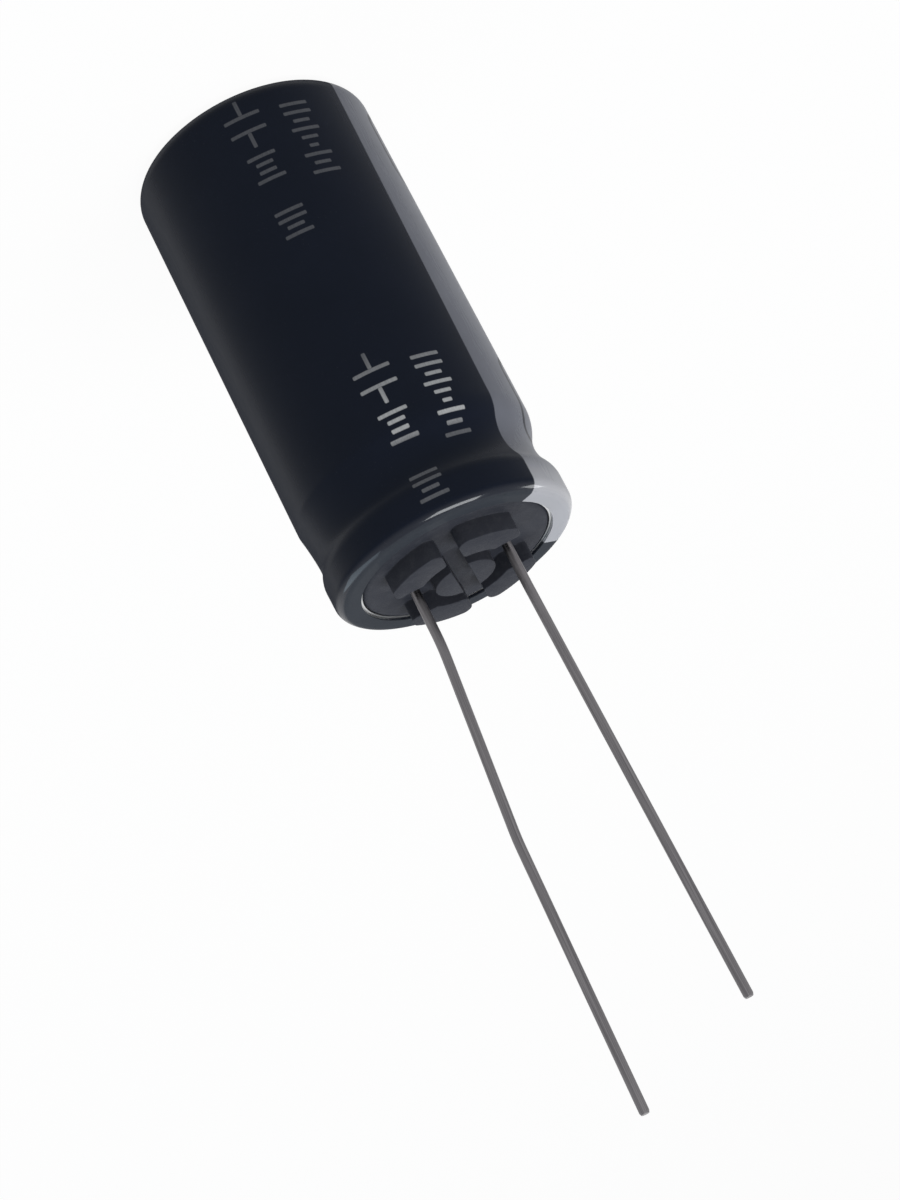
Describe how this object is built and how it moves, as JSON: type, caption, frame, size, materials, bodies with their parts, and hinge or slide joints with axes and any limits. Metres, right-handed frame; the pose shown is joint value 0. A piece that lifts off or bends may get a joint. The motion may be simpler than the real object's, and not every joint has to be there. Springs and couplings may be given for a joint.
{
  "type": "electrolytic capacitor",
  "caption": "Radial electrolytic capacitor: sleeved aluminium can with a bead groove and rolled rim, a rubber seal with stand-off pads, and two wire leads that spread.",
  "frame": {"origin": "middle of the closed end, on the plane that the turned-in sleeve stands on", "axes": "+Z along the can from the closed end to the leads; +X from the cathode lead (stripe side) to the anode lead; +Y completes the right-handed frame"},
  "size_m": [0.0128, 0.0128, 0.0534],
  "materials": {
    "sleeve_film": "shrunk film, navy black, glossy, with a grey stripe on the cathode side",
    "can_metal": "drawn, satin",
    "seal_rubber": "moulded, matt",
    "tinned_wire": "tinned, satin, drawn lengthwise",
    "tab_metal": "stamped, satin",
    "roll_paper": "wound paper and foil, damp",
    "roll_tape": "clear amber film"
  },
  "bodies": {
    "root": {"sleeve": "sleeve_film", "can": "can_metal", "rubber_seal": "seal_rubber", "anode_lead": "tinned_wire", "cathode_lead": "tinned_wire", "anode_tab": "tab_metal", "cathode_tab": "tab_metal", "wound_element": "roll_paper", "element_tape": "roll_tape"}
  },
  "joints": []
}
